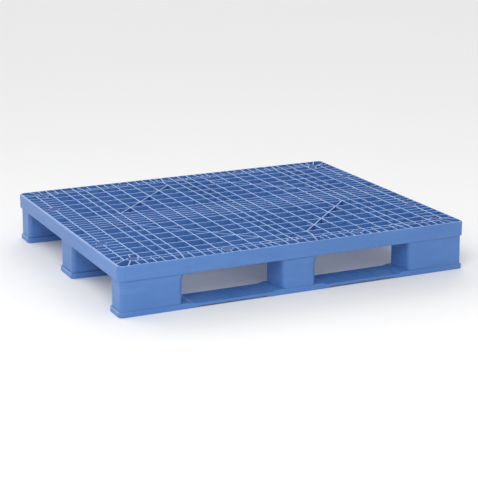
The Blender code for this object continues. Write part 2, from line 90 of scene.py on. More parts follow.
class Signal:
    """A shader output that adds Math nodes when a Python expression uses it."""

    def __init__(self, graph: "Graph", socket: bpy.types.NodeSocket) -> None:
        """Wrap one output socket of a graph."""
        self.graph = graph
        self.socket = socket

    def _math(self, operation: str, first: "Signal | float", second: "Signal | float") -> "Signal":
        """Add one Math node and return its result."""
        return self.graph.node("ShaderNodeMath", {"operation": operation}, {0: first, 1: second})["Value"]

    def __add__(self, other: "Signal | float") -> "Signal":
        """Return self + other."""
        return self._math("ADD", self, other)

    def __radd__(self, other: float) -> "Signal":
        """Return other + self."""
        return self._math("ADD", other, self)

    def __sub__(self, other: "Signal | float") -> "Signal":
        """Return self - other."""
        return self._math("SUBTRACT", self, other)

    def __mul__(self, other: "Signal | float") -> "Signal":
        """Return self * other."""
        return self._math("MULTIPLY", self, other)

    def __rmul__(self, other: float) -> "Signal":
        """Return other * self."""
        return self._math("MULTIPLY", other, self)

    def ramp(self, low: float, high: float) -> "Signal":
        """Return 0 below low, 1 above high and a smooth rise between them."""
        settings = {"interpolation_type": "SMOOTHSTEP"}
        return self.graph.node("ShaderNodeMapRange", settings,
                               {"Value": self, "From Min": low, "From Max": high})["Result"]


class Graph:
    """The node tree of one material."""

    def __init__(self, name: str) -> None:
        """Start a material with an empty tree."""
        self.material = bpy.data.materials.new(name)
        self.material.use_nodes = True
        self.tree = self.material.node_tree
        self.tree.nodes.clear()

    def node(self, kind: str, settings: dict[str, object],
             sockets: dict[int | str, object]) -> dict[str, Signal]:
        """Add one node.

        Args:
            kind: The node's type name.
            settings: The node's own properties, set before its sockets.
            sockets: Numbers, colours or signals by socket name, identifier or number.

        Returns:
            The node's outputs by identifier.
        """
        made = self.tree.nodes.new(kind)
        for key, value in settings.items():
            setattr(made, key, value)
        by_name = {socket.name: socket for socket in reversed(made.inputs)}
        by_name |= {socket.identifier: socket for socket in made.inputs}
        for key, value in sockets.items():
            socket = made.inputs[key] if isinstance(key, int) else by_name[key]
            if isinstance(value, Signal):
                self.tree.links.new(value.socket, socket)
            else:
                socket.default_value = value
        return {socket.identifier: Signal(self, socket) for socket in made.outputs}

    def place(self) -> Signal:
        """Return the position on the piece, in metres in the pallet's frame."""
        return self.node("ShaderNodeTexCoord", {}, {})["Object"]

    def stretched(self, scale: Sequence[float]) -> Signal:
        """Return the position with each axis scaled."""
        return self.node("ShaderNodeMapping", {}, {"Vector": self.place(), "Scale": scale})["Vector"]

    def noise(self, scale: float, detail: float, where: Signal | None = None) -> Signal:
        """Return a noise value around 0.5.

        Args:
            scale: Number of features in a metre.
            detail: Number of finer layers.
            where: The position to read, the piece's own when left out.

        Returns:
            The noise as a signal.
        """
        return self.node("ShaderNodeTexNoise", {}, {
            "Vector": where or self.place(), "Scale": scale, "Detail": detail, "Roughness": 0.55})["Fac"]

    def blend(self, share: Signal | float, first: object, second: object) -> Signal:
        """Return a colour between two others."""
        return self.node("ShaderNodeMix", {"data_type": "RGBA"}, {
            "Factor_Float": share, "A_Color": first, "B_Color": second})["Result_Color"]

    def bump(self, height: Signal, depth: float, strength: float) -> Signal:
        """Return a normal that follows a height signal."""
        return self.node("ShaderNodeBump", {}, {
            "Height": height, "Distance": depth, "Strength": strength})["Normal"]

    def surface(self, sockets: dict[int | str, object]) -> bpy.types.Material:
        """Close the tree with a Principled BSDF and return the material."""
        shader = self.node("ShaderNodeBsdfPrincipled", {}, sockets)
        self.node("ShaderNodeOutputMaterial", {}, {"Surface": shader["BSDF"]})
        return self.material


Colour = tuple[float, float, float, float]


@dataclass(frozen=True)
class MouldedPlastic:
    """Injection-moulded polyethylene: soft gloss, fine grain, faint flow marks, and a top painted lighter:
    painted highlight on every top face, with scuffs and scratches.
    """

    name: str
    colour: Colour = (0.085, 0.215, 0.520, 1.0)
    deep_colour: Colour = (0.066, 0.180, 0.470, 1.0)
    # Lighter colour of the top faces: painted highlight, and the colour of scuffs and scratches.
    top_highlight_and_scuff_colour: Colour = (0.230, 0.370, 0.660, 1.0)
    roughness: float = 0.36
    grain_depth: float = 0.00012
    # Height of the top faces that get the painted highlight and the scuffs.
    top_highlight_and_scuff_level: float | None = None

    def material(self) -> bpy.types.Material:
        """Build the material.

        Returns:
            A node material that reads Object coordinates.
        """
        graph = Graph(self.name)
        cloud = graph.noise(5.0, 3.0)
        mottle = graph.noise(120.0, 2.0)
        flow = graph.noise(9.0, 4.0, graph.stretched((1.0, 1.0, 7.0)))
        grain = graph.noise(1400.0, 2.0)
        share = (0.55 * cloud + 0.25 * mottle + 0.45 * flow).ramp(0.42, 0.86)
        colour = graph.blend(share, self.colour, self.deep_colour)
        roughness = self.roughness + 0.10 * flow + 0.08 * (mottle - 0.5)
        # Painted highlight on the top faces, with real scuffs and scratches on it.
        if self.top_highlight_and_scuff_level is not None:
            height = graph.node("ShaderNodeSeparateXYZ", {}, {"Vector": graph.place()})["Z"]
            on_top = height.ramp(self.top_highlight_and_scuff_level - 0.0009, self.top_highlight_and_scuff_level - 0.0002)
            worn = graph.noise(38.0, 5.0).ramp(0.44, 0.66)
            scratches = graph.noise(60.0, 3.0, graph.stretched((1.0, 14.0, 1.0))).ramp(0.55, 0.68)
            # The fixed 0.16 lightens every top face as a painted highlight; the worn and scratches noise add
            # real scuffing.
            top_highlight_and_scuff = on_top * (0.16 + 0.40 * worn + 0.30 * scratches)
            colour = graph.blend(top_highlight_and_scuff, colour, self.top_highlight_and_scuff_colour)
            roughness = roughness + 0.10 * top_highlight_and_scuff
        normal = graph.bump(grain + 0.35 * mottle, self.grain_depth, 0.35)
        return graph.surface({
            "Base Color": colour, "Roughness": roughness, "Normal": normal, "IOR": 1.51,
        })


@dataclass(frozen=True)
class GripRubber:
    """Soft thermoplastic rubber: matt, slightly dusty, with a fine leathery grain."""

    name: str
    colour: Colour = (0.040, 0.082, 0.270, 1.0)
    dust_colour: Colour = (0.085, 0.125, 0.320, 1.0)

    def material(self) -> bpy.types.Material:
        """Build the material and return it."""
        graph = Graph(self.name)
        dust = graph.noise(95.0, 5.0).ramp(0.42, 0.78)
        grain = graph.noise(2200.0, 2.0)
        return graph.surface({
            "Base Color": graph.blend(0.45 * dust, self.colour, self.dust_colour),
            "Roughness": 0.62 + 0.16 * dust,
            "Normal": graph.bump(grain, 0.00010, 0.5),
            "IOR": 1.49,
            "Specular IOR Level": 0.25,
        })


@dataclass(frozen=True)
class ZincPlate:
    """Bright zinc plate on steel, with a faint warm and cool bloom."""

    name: str
    cool: Colour = (0.60, 0.63, 0.66, 1.0)
    warm: Colour = (0.66, 0.63, 0.54, 1.0)

    def material(self) -> bpy.types.Material:
        """Build the material and return it."""
        graph = Graph(self.name)
        bloom = graph.noise(260.0, 3.0)
        brushed = graph.noise(900.0, 2.0, graph.stretched((1.0, 1.0, 0.08)))
        return graph.surface({
            "Base Color": graph.blend(bloom.ramp(0.4, 0.7), self.cool, self.warm),
            "Metallic": 1.0,
            "Roughness": 0.26 + 0.16 * bloom,
            "Normal": graph.bump(brushed, 0.00005, 0.4),
        })


@dataclass(frozen=True)
class GalvanisedSteel:
    """Hot-dip galvanised tube: crystal spangle with each grain its own shade and gloss."""

    name: str
    light: Colour = (0.62, 0.64, 0.66, 1.0)
    dark: Colour = (0.43, 0.45, 0.48, 1.0)

    def material(self) -> bpy.types.Material:
        """Build the material and return it."""
        graph = Graph(self.name)
        warped = graph.node("ShaderNodeTexVoronoi", {}, {
            "Vector": graph.place(), "Scale": 130.0, "Randomness": 1.0})
        shade = graph.node("ShaderNodeSeparateColor", {}, {"Color": warped["Color"]})["Red"]
        bloom = graph.noise(30.0, 4.0)
        return graph.surface({
            "Base Color": graph.blend(0.7 * shade + 0.3 * bloom, self.dark, self.light),
            "Metallic": 1.0,
            "Roughness": 0.34 + 0.18 * shade + 0.10 * bloom,
            "Normal": graph.bump(graph.noise(700.0, 2.0), 0.00006, 0.4),
        })


@dataclass(frozen=True)
class StudioPaper:
    """Matt white paper that the pallet stands on."""

    name: str
    white: Colour = (0.90, 0.90, 0.90, 1.0)
    off_white: Colour = (0.88, 0.88, 0.885, 1.0)

    def material(self) -> bpy.types.Material:
        """Build the material and return it."""
        graph = Graph(self.name)
        return graph.surface({
            "Base Color": graph.blend(graph.noise(0.8, 2.0), self.white, self.off_white),
            "Roughness": 0.9,
            "Specular IOR Level": 0.1,
        })


# ------------------------------------------------------------------------------------ making shapes


class Shape:
    """Closed bodies in the making, in the pallet's own frame."""

    def __init__(self) -> None:
        """Start with nothing."""
        self.mesh = bmesh.new()

    def since(self, known: set[bmesh.types.BMVert]) -> list[bmesh.types.BMVert]:
        """Return the vertices made after a set was noted."""
        return [vertex for vertex in self.mesh.verts if vertex not in known]

    def round_edges(self, edges: Iterable[bmesh.types.BMEdge], radius: float, segments: int) -> None:
        """Round some edges over."""
        bmesh.ops.bevel(self.mesh, geom=list(edges), offset=radius, offset_type="OFFSET", segments=segments,
                        profile=0.5, affect="EDGES", clamp_overlap=True, material=-1)

    def prism(self, low: Sequence[float], high: Sequence[float], radii: Sequence[float] = (0, 0, 0, 0),
              segments: int = 8, top_round: float = 0.0,
              bottom_round: float = 0.0) -> list[bmesh.types.BMVert]:
        """Add an upright block with rounded corners.

        Args:
            low: The lowest corner.
            high: The highest corner.
            radii: Corner radii in plan, anticlockwise from the low-X, low-Y corner.
            segments: Facets of each rounded corner.
            top_round: Radius of the edge round the top face.
            bottom_round: Radius of the edge round the bottom face.

        Returns:
            The new vertices.
        """
        known = set(self.mesh.verts)
        low, high = Vector(low), Vector(high)
        middle = (low + high) / 2
        matrix = Matrix.Translation(middle) @ Matrix.Diagonal((*(high - low), 1.0))
        bmesh.ops.create_cube(self.mesh, size=1.0, matrix=matrix)
        corners = ((low.x, low.y), (high.x, low.y), (high.x, high.y), (low.x, high.y))
        for (corner_x, corner_y), radius in zip(corners, radii):
            if radius > 0.0:
                at_corner = [edge for edge in self.mesh.edges if edge.verts[0] not in known and all(
                    abs(end.co.x - corner_x) + abs(end.co.y - corner_y) < SAME_PLACE for end in edge.verts)]
                self.round_edges(at_corner, radius, segments)
        for level, radius in ((high.z, top_round), (low.z, bottom_round)):
            if radius > 0.0:
                rim = [edge for edge in self.mesh.edges if edge.verts[0] not in known and all(
                    abs(end.co.z - level) < SAME_PLACE for end in edge.verts)]
                self.round_edges(rim, radius, 3)
        return self.since(known)

    def bar(self, start: Sequence[float], end: Sequence[float], rib: "Rib") -> None:
        """Add a straight rib, with a rounded top and a slight draft.

        Args:
            start: Where it starts, in plan.
            end: Where it ends, in plan.
            rib: Its cross-section.
        """
        known = set(self.mesh.verts)
        first = Vector((*start[:2], 0.0))
        along = Vector((*end[:2], 0.0)) - first
        matrix = Matrix.Translation((0.5 * along.length, 0.0, (rib.top + rib.bottom) / 2)) @ Matrix.Diagonal(
            (along.length, rib.width, rib.top - rib.bottom, 1.0))
        made = bmesh.ops.create_cube(self.mesh, size=1.0, matrix=matrix)["verts"]
        for vertex in made:
            if vertex.co.z < rib.top - SAME_PLACE:
                vertex.co.y *= 1.0 - rib.draft
        shoulders = {edge for vertex in made for edge in vertex.link_edges if all(
            abs(tip.co.z - rib.top) < SAME_PLACE for tip in edge.verts)
            and abs(edge.verts[0].co.x - edge.verts[1].co.x) > SAME_PLACE}
        self.round_edges(shoulders, rib.shoulder, 2)
        turn = Matrix.Rotation(math.atan2(along.y, along.x), 4, "Z")
        bmesh.ops.transform(self.mesh, matrix=Matrix.Translation(first) @ turn, verts=self.since(known))

    def turned(self, centre: Sequence[float], profile: Sequence[tuple[float, float]], segments: int) -> None:
        """Add a round body.

        Args:
            centre: Plan position of its axis.
            profile: (radius, z) pairs along its side; the ends are closed on the axis.
            segments: Facets all the way round.
        """
        known = set(self.mesh.verts)
        closed = [(0.0, profile[0][1]), *profile, (0.0, profile[-1][1])]
        chain = [self.mesh.verts.new((radius, 0.0, level)) for radius, level in closed]
        lines = [self.mesh.edges.new(pair) for pair in zip(chain, chain[1:])]
        bmesh.ops.spin(self.mesh, geom=chain + lines, cent=(0.0, 0.0, 0.0), axis=(0.0, 0.0, 1.0),
                       angle=2.0 * math.pi, steps=segments, use_merge=True)
        bmesh.ops.remove_doubles(self.mesh, verts=self.since(known), dist=SAME_PLACE)
        bmesh.ops.translate(self.mesh, vec=(centre[0], centre[1], 0.0), verts=self.since(known))

    def extruded(self, outline: Sequence[tuple[float, float]], low_y: float, high_y: float,
                 fold_round: float) -> None:
        """Add a side outline, drawn out along Y, with its folds eased.

        Args:
            outline: (x, z) pairs round the outline.
            low_y: Y where it starts.
            high_y: Y where it ends.
            fold_round: Radius of the eased folds.
        """
        known = set(self.mesh.verts)
        loop = [self.mesh.verts.new((x, low_y, z)) for x, z in outline]
        side = self.mesh.faces.new(loop)
        grown = bmesh.ops.extrude_face_region(self.mesh, geom=[side], use_keep_orig=True)["geom"]
        far = [part for part in grown if isinstance(part, bmesh.types.BMVert)]
        bmesh.ops.translate(self.mesh, vec=(0.0, high_y - low_y, 0.0), verts=far)
        folds = [edge for edge in self.mesh.edges if edge.verts[0] not in known
                 and abs(edge.verts[0].co.y - edge.verts[1].co.y) > SAME_PLACE]
        self.round_edges(folds, fold_round, 3)

    def bend(self, vertices: Iterable[bmesh.types.BMVert], move: Callable[[Vector], Vector]) -> None:
        """Move each vertex by what a rule gives for its place."""
        for vertex in vertices:
            vertex.co += move(vertex.co)

    def split(self, point: Vector, normal: Vector) -> None:
        """Cut every face across at a plane, and keep both parts."""
        everything = [*self.mesh.verts, *self.mesh.edges, *self.mesh.faces]
        bmesh.ops.bisect_plane(self.mesh, geom=everything, dist=SAME_PLACE, plane_co=point, plane_no=normal)

    def as_object(self, name: str) -> bpy.types.Object:
        """Turn the shape into a linked object, with its faces pointing outwards."""
        bmesh.ops.recalc_face_normals(self.mesh, faces=self.mesh.faces)
        data = bpy.data.meshes.new(name)
        self.mesh.to_mesh(data)
        self.mesh.free()
        item = bpy.data.objects.new(name, data)
        bpy.context.scene.collection.objects.link(item)
        return item


class Workpiece:
    """A piece that Boolean steps build up."""

    def __init__(self, name: str, shape: Shape) -> None:
        """Start the piece from a shape."""
        self.item = shape.as_object(name)

    def as_shape(self) -> Shape:
        """Turn the piece back into a shape, and remove it."""
        shape = Shape()
        shape.mesh.from_mesh(self.item.data)
        bpy.data.objects.remove(self.item, do_unlink=True)
        return shape

    def work(self, step: Step, shape: Shape) -> None:
        """Join a shape, cut it out, or keep only what lies inside it.

        Args:
            step: What to do with the shape.
            shape: Closed bodies that don't overlap one another.
        """
        tool = shape.as_object(f"{self.item.name}_tool")
        modifier = self.item.modifiers.new("step", "BOOLEAN")
        modifier.operation = step.value
        modifier.solver = "MANIFOLD"
        modifier.object = tool
        graph = bpy.context.evaluated_depsgraph_get()
        result = bpy.data.meshes.new_from_object(self.item.evaluated_get(graph))
        self.item.modifiers.clear()
        replaced = self.item.data
        self.item.data = result
        result.name = self.item.name
        for spent in (replaced, tool.data):
            if spent.users <= 1:
                bpy.data.meshes.remove(spent)

    @staticmethod
    def tidy_mesh(data: bpy.types.Mesh) -> None:
        """Weld the slivers that Boolean steps leave where ribs cross."""
        mesh = bmesh.new()
        mesh.from_mesh(data)
        bmesh.ops.remove_doubles(mesh, verts=mesh.verts, dist=SLIVER)
        bmesh.ops.dissolve_degenerate(mesh, edges=mesh.edges, dist=SLIVER)
        mesh.to_mesh(data)
        mesh.free()

    def finish(self, material: bpy.types.Material, slot: Slot, *nodes: str) -> bpy.types.Object:
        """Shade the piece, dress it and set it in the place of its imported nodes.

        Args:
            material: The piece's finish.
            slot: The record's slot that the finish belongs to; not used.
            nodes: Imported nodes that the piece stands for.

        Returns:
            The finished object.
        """
        data = self.item.data
        self.tidy_mesh(data)
        data.materials.clear()
        data.materials.append(material)
        data.shade_smooth()
        data.set_sharp_from_angle(angle=SMOOTH_BELOW)
        weighted = self.item.modifiers.new("even_shading", "WEIGHTED_NORMAL")
        weighted.keep_sharp = True
        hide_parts(*nodes)
        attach(self.item, BODY)
        LOG.info("%s: %d faces", self.item.name, len(data.polygons))
        return self.item


@dataclass(frozen=True)
class Rib:
    """Cross-section of a deck rib."""

    bottom: float
    top: float
    width: float = 0.0040
    draft: float = 0.12
    shoulder: float = 0.0006


def middle_of(node: str) -> Vector:
    """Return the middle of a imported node's box."""
    low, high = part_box(node)
    return (low + high) / 2


def nodes_named(start: str) -> list[str]:
    """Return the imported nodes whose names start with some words, in order."""
    return sorted(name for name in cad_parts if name.startswith(start))


def both_ways(values: Iterable[float]) -> list[float]:
    """Return each distance on both sides of the middle."""
    return [sign * value for value in values for sign in SIDES]


def evenly(first: float, last: float, bays: int) -> list[float]:
    """Return the ends and the steps of a stretch that is split into equal bays."""
    return [first + (last - first) * index / bays for index in range(bays + 1)]


# -------------------------------------------------------------------------------------- the pallet


@dataclass
class DeckMoulding:
    """The deck: skirt, rib grid, plug cups, screw bosses and channels for the steel tubes.

    Columns are ribs across the pallet, at a distance in X from its middle. Rows are ribs along it,
    at a distance in Y.
    """

    finish: MouldedPlastic
    corner_radius: float = 0.020
    skirt_wall: float = 0.0065
    bottom_round: float = 0.0020
    top_round: float = 0.0038
    first_column: float = 0.0805
    last_column: float = 0.3745
    centre_column: float = 0.034
    pair_column: float = 0.4075
    bridge_column: float = 0.447
    end_column: float = 0.5025
    ring_column: float = 0.5565
    boss_column: float = 0.090
    first_row: float = 0.083
    last_row: float = 0.3835
    centre_rows: tuple[float, float] = (0.0255, 0.0510)
    ring_row: float = 0.432
    edge_row: float = 0.4535
    bays: int = 5
    light_rib_depth: float = 0.0215
    kink_start: float = 0.420
    kink_lap: float = 0.001
    outer_kink: float = 0.388
    inner_kink: float = 0.061
    row_kink: float = 0.399
    centre_row_kink: float = 0.060
    kink_neighbour: float = 0.353
    cup_wall: float = 0.0035
    cup_floor: float = 0.003
    plug_gap: float = 0.0003
    brim_chamfer: float = 0.0006
    boss_wall: float = 0.005
    boss_height: float = 0.028
    spigot_radius: float = 0.014
    spigot_height: float = 0.010
    pilot_radius: float = 0.0035
    pilot_depth: float = 0.020
    channel_gap: float = 0.0005
    notch_span: tuple[float, float] = (0.246, 0.284)
    notch_depth: float = 0.002

    def __post_init__(self) -> None:
        """Read the deck's box and work out the ribs' sections and places."""
        self.low, self.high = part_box("deck")
        self.top = self.high.z
        self.bottom = self.low.z
        self.deep_rib = Rib(self.bottom, self.top)
        self.light_rib = Rib(self.top - self.light_rib_depth, self.top, width=0.0036)
        self.columns = evenly(self.first_column, self.last_column, self.bays)
        self.rows = evenly(self.first_row, self.last_row, self.bays)
        self.half_columns = [(a + b) / 2 for a, b in zip(self.columns, self.columns[1:])]
        self.half_rows = [(a + b) / 2 for a, b in zip(self.rows, self.rows[1:])]

    def plate(self, inset: float, low_z: float, high_z: float, top_round: float = 0.0,
              bottom_round: float = 0.0) -> Shape:
        """Return the deck's outline, moved inwards, as a solid between two levels."""
        shape = Shape()
        shape.prism((self.low.x + inset, self.low.y + inset, low_z),
                    (self.high.x - inset, self.high.y - inset, high_z),
                    [self.corner_radius - inset] * 4, 12, top_round, bottom_round)
        return shape

    def across(self, shape: Shape, distances: Iterable[float], reach: float, rib: Rib) -> None:
        """Add ribs across the pallet, on both sides of its middle."""
        for x in both_ways(distances):
            shape.bar((x, -reach), (x, reach), rib)

    def along(self, shape: Shape, distances: Iterable[float], reach: float, rib: Rib) -> None:
        """Add ribs along the pallet, on both sides of its middle."""
        for y in both_ways(distances):
            shape.bar((-reach, y), (reach, y), rib)

    def stubs(self, shape: Shape, distances: Iterable[float], inner_y: float, outer_y: float) -> None:
        """Add short ribs across both long edges of the pallet."""
        for x in both_ways(distances):
            for side in SIDES:
                shape.bar((x, side * inner_y), (x, side * outer_y), self.light_rib)

    def straight_columns(self) -> Shape:
        """Return the ribs across the pallet that run straight."""
        shape = Shape()
        whole = self.high.y
        shape.bar((0.0, -whole), (0.0, whole), self.deep_rib)
        self.across(shape, [*self.columns[1:-1], self.end_column, self.pair_column], whole, self.deep_rib)
        self.across(shape, [self.bridge_column], whole, self.light_rib)
        self.across(shape, [self.first_column, self.last_column], self.kink_start, self.deep_rib)
        self.across(shape, [self.centre_column], whole, self.light_rib)
        self.across(shape, [self.ring_column], self.ring_row, self.deep_rib)
        return shape

    def straight_rows(self) -> Shape:
        """Return the ribs along the pallet that run straight."""
        shape = Shape()
        whole = self.high.x
        shape.bar((-whole, 0.0), (whole, 0.0), self.deep_rib)
        self.along(shape, self.rows[1:-1], whole, self.deep_rib)
        self.along(shape, [self.first_row], self.ring_column, self.deep_rib)
        self.along(shape, [self.last_row], self.end_column, self.deep_rib)
        self.along(shape, self.centre_rows[:1], whole, self.light_rib)
        self.along(shape, self.centre_rows[1:], self.ring_column, self.light_rib)
        self.along(shape, [self.ring_row], whole, self.deep_rib)
        corner_x = abs(middle_of(nodes_named("grip_plug")[0]).x)
        self.along(shape, [self.edge_row], corner_x, self.light_rib)
        return shape

    def half_pitch_rows(self) -> Shape:
        """Return the short ribs between the rows, out in the end columns."""
        shape = Shape()
        for y in both_ways(self.half_rows):
            for side in SIDES:
                shape.bar((side * self.end_column, y), (side * self.high.x, y), self.light_rib)
        return shape

    def half_pitch_columns(self) -> Shape:
        """Return the short ribs between the columns, along both long edges."""
        shape = Shape()
        rim = self.high.y - self.skirt_wall / 2
        between_end_columns = (self.bridge_column + self.end_column) / 2
        self.stubs(shape, [*self.half_columns[:-1], self.kink_neighbour, between_end_columns],
                   self.ring_row, rim)
        self.stubs(shape, [self.centre_column / 2], self.ring_row, self.edge_row)
        self.stubs(shape, [self.boss_column], self.edge_row, rim)
        return shape

    def kinks(self) -> Shape:
        """Return the ends of the ribs that bend before they reach the skirt."""
        shape = Shape()
        bent_columns = ((self.outer_kink, self.last_column), (self.inner_kink, self.first_column))
        bent_rows = ((self.end_column, self.last_row, self.row_kink, self.deep_rib),
                     (self.ring_column, self.centre_rows[1], self.centre_row_kink, self.light_rib))
        for side_x, side_y in QUADRANTS:
            for kink, column in bent_columns:
                shape.bar((side_x * column, side_y * (self.kink_start - self.kink_lap)),
                          (side_x * kink, side_y * self.high.y), self.deep_rib)
            for start, row, kink, rib in bent_rows:
                shape.bar((side_x * (start - self.kink_lap), side_y * row),
                          (side_x * self.high.x, side_y * kink), rib)
        return shape

    def diagonals(self) -> Shape:
        """Return the four ribs that make a diamond round the pallet's middle."""
        shape = Shape()
        for side_x, side_y in QUADRANTS:
            shape.bar((side_x * self.first_column, side_y * self.last_row),
                      (side_x * self.last_column, side_y * self.first_row), self.light_rib)
        return shape

    def corner_fans(self) -> Shape:
        """Return the ribs that spread from each corner cup to the skirt and the grid."""
        shape = Shape()
        for node in nodes_named("grip_plug")[:4]:
            cup = middle_of(node)
            side_x = math.copysign(1.0, cup.x)
            side_y = math.copysign(1.0, cup.y)
            for start, end in self.fan_spokes():
                shape.bar((cup.x + side_x * start[0], cup.y + side_y * start[1]),
                          (cup.x + side_x * end[0], cup.y + side_y * end[1]), self.light_rib)
        return shape

    def fan_spokes(self) -> list[tuple[tuple[float, float], tuple[float, float]]]:
        """Return where each spoke starts and ends, outwards from the middle of a corner cup."""
        cup = middle_of(nodes_named("grip_plug")[0])
        to_end = self.high.x - abs(cup.x)
        to_side = self.high.y - abs(cup.y)
        spread = math.radians(38.0)
        near = self.cup_radius() * 0.9
        return [
            ((near, -0.003), (to_end, to_end * math.tan(math.radians(27.0)))),
            ((near * math.sin(spread), near * math.cos(spread)),
             (to_side * math.tan(math.radians(30.0)), to_side)),
            ((0.0, near), (0.0, to_side)),
            ((0.001, -near), (-0.006, self.last_row - abs(cup.y))),
            ((-near * 0.9, 0.004), (self.end_column - abs(cup.x), -0.022)),
        ]

    def cup_radius(self) -> float:
        """Return the outer radius of a plug's cup."""
        low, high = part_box(nodes_named("grip_plug")[0])
        return (high.x - low.x) / 2 + self.plug_gap + self.cup_wall

    def cups_and_bosses(self) -> Shape:
        """Return the solid rounds that the cups and the screw bosses are cut from."""
        shape = Shape()
        for node in nodes_named("grip_plug"):
            cup = middle_of(node)
            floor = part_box(node)[0].z - self.plug_gap - self.cup_floor
            radius = self.cup_radius()
            shape.turned(cup, [(radius * 0.97, floor), (radius, self.top - self.top_round / 2),
                               (radius - self.top_round / 2, self.top)], 40)
        for node in nodes_named("clamp_screw"):
            radius = self.spigot_radius + self.plug_gap + self.boss_wall
            shape.turned(middle_of(node), [(radius, self.bottom),
                                           (radius * 0.95, self.bottom + self.boss_height)], 40)
        return shape

    def hollows(self) -> Shape:
        """Return what is cut out of the cups and the bosses."""
        shape = Shape()
        for node in nodes_named("grip_plug"):
            low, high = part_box(node)
            radius = (high.x - low.x) / 2 + self.plug_gap
            brim = radius + self.brim_chamfer
            shape.turned((low + high) / 2, [
                (radius, low.z - self.plug_gap),
                (radius, self.top - self.brim_chamfer),
                (brim, self.top),
                (brim, self.top + CUT_PAST),
            ], 40)
        socket_top = self.bottom + self.spigot_height
        for node in nodes_named("clamp_screw"):
            socket = self.spigot_radius + self.plug_gap
            shape.turned(middle_of(node), [
                (socket + 0.001, self.bottom - CUT_PAST),
                (socket + 0.001, self.bottom),
                (socket, self.bottom + 0.001),
                (socket, socket_top),
                (self.pilot_radius, socket_top),
                (self.pilot_radius, socket_top + self.pilot_depth),
            ], 40)
        return shape

    def channels(self) -> Shape:
        """Return the channels that the steel tubes lie in, and the drain notches under the skirt."""
        shape = Shape()
        for node in nodes_named("steel_tube"):
            low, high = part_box(node)
            gap = Vector((self.channel_gap, 0.002, 0.0))
            shape.prism(Vector((low.x, low.y, self.bottom - CUT_PAST)) - gap,
                        high + gap + Vector((0.0, 0.0, self.plug_gap)))
        for low_x, high_x in (self.notch_span, tuple(-x for x in reversed(self.notch_span))):
            for wall_y in (self.low.y, self.high.y):
                shape.bar((low_x, wall_y), (high_x, wall_y),
                          Rib(self.bottom - CUT_PAST, self.bottom + self.notch_depth, 4 * self.skirt_wall,
                              0.0, 0.0))
        return shape

    def build(self) -> None:
        """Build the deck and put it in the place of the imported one."""
        piece = Workpiece("deck_moulding", self.straight_columns())
        for ribs in (self.straight_rows, self.half_pitch_rows, self.half_pitch_columns, self.kinks,
                     self.diagonals, self.corner_fans):
            piece.work(Step.JOIN, ribs())
        inside = self.skirt_wall / 2
        piece.work(Step.KEEP_INSIDE, self.plate(inside, self.bottom - CUT_PAST, self.top + CUT_PAST))
        outside = self.plate(0.0, self.bottom, self.top, self.top_round, self.bottom_round)
        skirt = Workpiece("deck_skirt", outside)
        skirt.work(Step.CUT, self.plate(self.skirt_wall, self.bottom - CUT_PAST, self.top + CUT_PAST))
        piece.work(Step.JOIN, skirt.as_shape())
        piece.work(Step.JOIN, self.cups_and_bosses())
        piece.work(Step.CUT, self.hollows())
        piece.work(Step.CUT, self.channels())
        piece.finish(self.finish.material(), Slot.DECK, "deck")


@cache
def corner_block_span() -> tuple[float, float]:
    """Return how far out the blocks at the pallet's ends start and stop."""
    low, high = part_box("block_centre_left")
    return Block.flare_reach - high.x, -low.x


def drawn_in(place: Vector, middle_y: float, reach: float) -> Vector:
    """Return how far a point moves to make a block or runner narrower towards the pallet's ends.

    Args:
        place: The point.
        middle_y: Y of the middle of its block or runner.
        reach: How much of the whole move it takes, from 0 to 1.
    """
    inner, outer = corner_block_span()
    share = min(1.0, max(0.0, (abs(place.x) - inner) / (outer - inner)))
    return Vector((0.0, math.copysign(Block.end_lead_in * share * reach, middle_y - place.y), 0.0))


